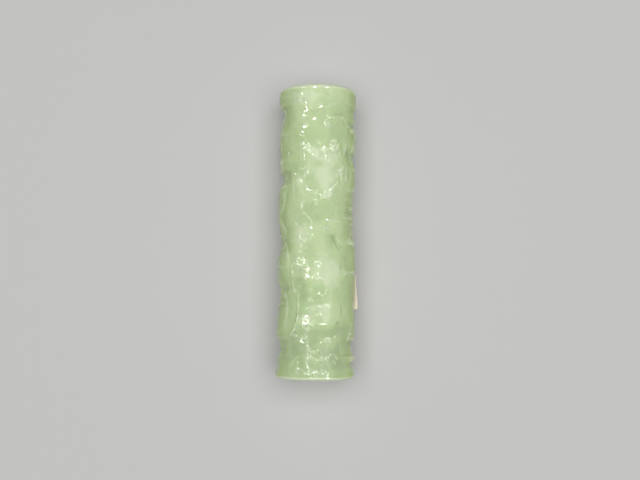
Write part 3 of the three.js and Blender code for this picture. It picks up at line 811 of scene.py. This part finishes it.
class Surface:
    """A material with one Principled shader, and short ways to add nodes and read their outputs."""

    def __init__(self, name):
        self.material = bpy.data.materials.new(name)
        self.material.use_nodes = True
        self.nodes = self.material.node_tree.nodes
        self.links = self.material.node_tree.links
        self.nodes.clear()
        self.shader = self.nodes.new("ShaderNodeBsdfPrincipled")
        output = self.nodes.new("ShaderNodeOutputMaterial")
        self.links.new(self.shader.outputs[0], output.inputs["Surface"])

    def set(self, name, value):
        """Gives one of the shader's sockets a number, a colour or another node's output."""
        socket = self.shader.inputs[name]
        if isinstance(value, bpy.types.NodeSocket):
            self.links.new(value, socket)
        else:
            socket.default_value = value

    def texture(self, kind, scale):
        """A texture node in the object's own coordinates."""
        node = self.nodes.new(kind)
        node.inputs["Scale"].default_value = scale
        place = self.nodes.new("ShaderNodeTexCoord").outputs["Object"]
        self.links.new(place, node.inputs["Vector"])
        return node

    def noise(self, scale, detail, roughness, distortion=0.0):
        node = self.texture("ShaderNodeTexNoise", scale)
        node.inputs["Detail"].default_value = detail
        node.inputs["Roughness"].default_value = roughness
        node.inputs["Distortion"].default_value = distortion
        return node.outputs["Fac"]

    def attribute(self, name):
        node = self.nodes.new("ShaderNodeAttribute")
        node.attribute_name = name
        return node.outputs["Fac"]

    def ramp(self, value, low, high, to_low=0.0, to_high=1.0):
        node = self.nodes.new("ShaderNodeMapRange")
        node.interpolation_type = "SMOOTHSTEP"
        node.inputs["From Min"].default_value = low
        node.inputs["From Max"].default_value = high
        node.inputs["To Min"].default_value = to_low
        node.inputs["To Max"].default_value = to_high
        self.links.new(value, node.inputs["Value"])
        return node.outputs["Result"]

    def mixed(self, factor, first, second):
        node = self.nodes.new("ShaderNodeMix")
        node.data_type = "RGBA"
        self.links.new(factor, node.inputs["Factor"])
        for socket, colour in ((node.inputs["A"], first), (node.inputs["B"], second)):
            if isinstance(colour, tuple):
                socket.default_value = (*colour, 1)
            else:
                self.links.new(colour, socket)
        return node.outputs["Result"]

    def added(self, first, second, weight):
        """The first value and a weighted second one."""
        node = self.nodes.new("ShaderNodeMath")
        node.operation = "MULTIPLY_ADD"
        self.links.new(second, node.inputs[0])
        node.inputs[1].default_value = weight
        self.links.new(first, node.inputs[2])
        return node.outputs["Value"]

    def product(self, first, second):
        node = self.nodes.new("ShaderNodeMath")
        node.operation = "MULTIPLY"
        self.links.new(first, node.inputs[0])
        self.links.new(second, node.inputs[1])
        return node.outputs["Value"]

    def bumped(self, height, distance, strength=1.0, below=None):
        """A normal bent by a height, on top of the bump below it if there is one."""
        node = self.nodes.new("ShaderNodeBump")
        node.inputs["Strength"].default_value = strength
        node.inputs["Distance"].default_value = distance
        self.links.new(height, node.inputs["Height"])
        if below:
            self.links.new(below, node.inputs["Normal"])
        return node.outputs["Normal"]


def jade_colour(jade):
    """Soft mottles and clouds, with painted light and shade: shade where the surface turns away from the
    camera and on the lower part, a glow on the end rims, a highlight on crests and shade in hollows.
    """
    body = jade.mixed(jade.ramp(jade.noise(70, 3, 0.5, 0.4), 0.36, 0.64), DEEP_GREEN, BODY_GREEN)
    # The clouds' level, with the painted shade of the lower part in it
    cloud_and_shade_level = jade.added(jade.attribute("cloud_and_shade"), jade.noise(210, 4, 0.6, 0.6), 1.5)
    # Pale clouds, paler collars, and the painted glow of the end rims
    paled = jade.mixed(jade.ramp(cloud_and_shade_level, 0.85, 1.55, 0, 0.85), body, PALE_CLOUD_AND_RIM_GLOW)
    # Deep green: stains in the clouds, and painted shade on the lower part and along two gouges
    stained_and_shaded = jade.mixed(jade.ramp(cloud_and_shade_level, 0.75, -0.4, 0, 0.9), paled, STAIN_AND_SHADE_GREEN)
    # Painted shade: greener and darker as the surface turns away from the camera
    slant = jade.nodes.new("ShaderNodeLayerWeight").outputs["Facing"]
    side_shaded = jade.mixed(jade.ramp(slant, 0.18, 0.65, 0, 0.9), stained_and_shaded, SIDE_PAINTED_SHADE)
    # A painted highlight on crests, then painted shade in hollows
    highlighted = jade.mixed(jade.ramp(jade.attribute("painted_relief_light"), 0.05, 0.35, 0, 0.55), side_shaded, CREST_PAINTED_HIGHLIGHT)
    return jade.mixed(jade.ramp(jade.attribute("painted_relief_light"), -0.06, -0.4, 0, 0.4), highlighted, HOLLOW_PAINTED_SHADE)


def jade_normal(jade):
    """The polish's faint waves, and the small round pits that a pointed tool leaves where it works."""
    worked = jade.attribute("worked")
    pits = jade.texture("ShaderNodeTexVoronoi", 760).outputs["Distance"]
    pitted = jade.product(jade.product(pits, pits), jade.ramp(worked, 0.3, 0.95))
    uneven = jade.product(jade.noise(600, 1, 0.5), jade.ramp(worked, 0, 0.3, 0.5, 1))
    return jade.bumped(pitted, PIT_DEPTH, below=jade.bumped(uneven, POLISH_BUMP))


def jade_material():
    """Cloudy pale green stone, polished, with light going a few millimetres deep."""
    jade = Surface("jade")
    jade.set("Base Color", jade_colour(jade))
    jade.set("Roughness", jade.ramp(jade.noise(260, 3, 0.55), 0.35, 0.7, 0.05, 0.12))
    jade.set("IOR", 1.66)
    jade.set("Subsurface Weight", 0.85)
    jade.set("Subsurface Radius", (1.0, 1.15, 0.7))
    jade.set("Subsurface Scale", 0.0032)
    jade.set("Normal", jade_normal(jade))
    return jade.material


def paper_material():
    """Cream paper with faint fibres."""
    paper = Surface("paper")
    fibres = paper.noise(900, 5, 0.5)
    paper.set("Base Color", paper.mixed(fibres, PAPER_SHADE, PAPER_CREAM))
    paper.set("Roughness", 0.75)
    paper.set("Normal", paper.bumped(fibres, FIBRE_BUMP, strength=0.25))
    return paper.material


def floor_material():
    """Matt pale grey, which mirrors no lamp."""
    floor = Surface("floor")
    floor.set("Base Color", (*FLOOR_GREY, 1))
    floor.set("Specular IOR Level", 0)
    floor.set("Roughness", 0.7)
    return floor.material


# -------------------------------------------------------------------------------------- stage and lights

FLOOR_SIZE = 6

SOFT_TOP_SIZE = (2.4, 2.8)
SOFT_TOP_DISTANCE = 2.4
SOFT_TOP_TURN = 2
SOFT_TOP_POWER = 69.0

# Small lamps that show only as glints: (turn, lean towards the taller collar, watts)
GLINT_LAMPS = [
    (-44, 0.5, 5), (-8, 0.62, 4), (30, 0.5, 4.5), (-12, -0.58, 4.5), (34, -0.5, 4.5), (-34, -0.45, 4),
    (4, -0.62, 2.5),
]
GLINT_LAMP_SIZE = (0.09, 0.09)
GLINT_LAMP_DISTANCE = 1.0

SKY_COLOUR = (0.9, 0.95, 1, 1)
SKY_STRENGTH = 0.09


def area_light(name, turn, lean, distance, size, power):
    """A rectangle of light that faces the column's middle, at a turn about its axis."""
    data = bpy.data.lights.new(name, "AREA")
    data.shape = "RECTANGLE"
    data.size, data.size_y = size
    data.energy = power
    lamp = bpy.data.objects.new(name, data)
    bpy.context.scene.collection.objects.link(lamp)
    angle = math.radians(turn)
    away = Vector((math.sin(angle), lean, math.cos(angle))).normalized()
    lamp.location = Vector((AXIS_X, 0, AXIS_Z)) + away * distance
    lamp.rotation_mode = "QUATERNION"
    lamp.rotation_quaternion = away.to_track_quat("Z", "Y")
    return lamp


def make_lights():
    """A wide soft light above, and small lamps that only the polish mirrors."""
    soft_top = area_light("soft_top", SOFT_TOP_TURN, 0, SOFT_TOP_DISTANCE, SOFT_TOP_SIZE, SOFT_TOP_POWER)
    soft_top.visible_glossy = False
    for turn, lean, power in GLINT_LAMPS:
        lamp = area_light(f"lamp_{turn}_{lean}", turn, lean, GLINT_LAMP_DISTANCE, GLINT_LAMP_SIZE, power)
        lamp.visible_diffuse = False
    world = bpy.data.worlds.new("studio")
    bpy.context.scene.world = world
    world.use_nodes = True
    background = world.node_tree.nodes["Background"]
    background.inputs["Color"].default_value = SKY_COLOUR
    background.inputs["Strength"].default_value = SKY_STRENGTH


def make_floor():
    bpy.ops.mesh.primitive_plane_add(size=FLOOR_SIZE, location=(0, 0, 0))
    floor = bpy.context.object
    floor.name = "floor"
    floor.data.materials.append(floor_material())


# ------------------------------------------------------------------------------------------------ camera

SENSOR_WIDTH = 36
FOCAL_LENGTH = 48.9
CAMERA_DISTANCE = 0.364
CAMERA_LEAN = 4.5   # degrees from straight above, towards the shorter collar
CAMERA_ROLL = 0.6
CAMERA_AIM = Vector((AXIS_X + 0.0015, -0.0028, AXIS_Z))


def make_camera():
    """Almost straight above, leaning a few degrees towards the shorter collar."""
    data = bpy.data.cameras.new("camera")
    data.sensor_width = SENSOR_WIDTH
    data.lens = FOCAL_LENGTH
    camera = bpy.data.objects.new("camera", data)
    bpy.context.scene.collection.objects.link(camera)
    lean = math.radians(CAMERA_LEAN)
    back = Vector((0, -math.sin(lean), math.cos(lean)))
    facing = (-back).to_track_quat("-Z", "Y").to_matrix().to_4x4()
    roll = Matrix.Rotation(math.radians(CAMERA_ROLL), 4, "Z")
    camera.location = CAMERA_AIM + back * CAMERA_DISTANCE
    camera.rotation_mode = "QUATERNION"
    camera.rotation_quaternion = (facing @ roll).to_quaternion()
    bpy.context.scene.camera = camera


def main():
    make_camera()
    column = column_mesh()
    column.data.materials.append(jade_material())
    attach(column, "root")
    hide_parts("carved_column")
    sticker = sticker_mesh()
    sticker.data.materials.append(paper_material())
    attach(sticker, "root")
    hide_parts("paper_sticker")
    make_floor()
    make_lights()
    bpy.context.scene.view_settings.view_transform = "Standard"


main()
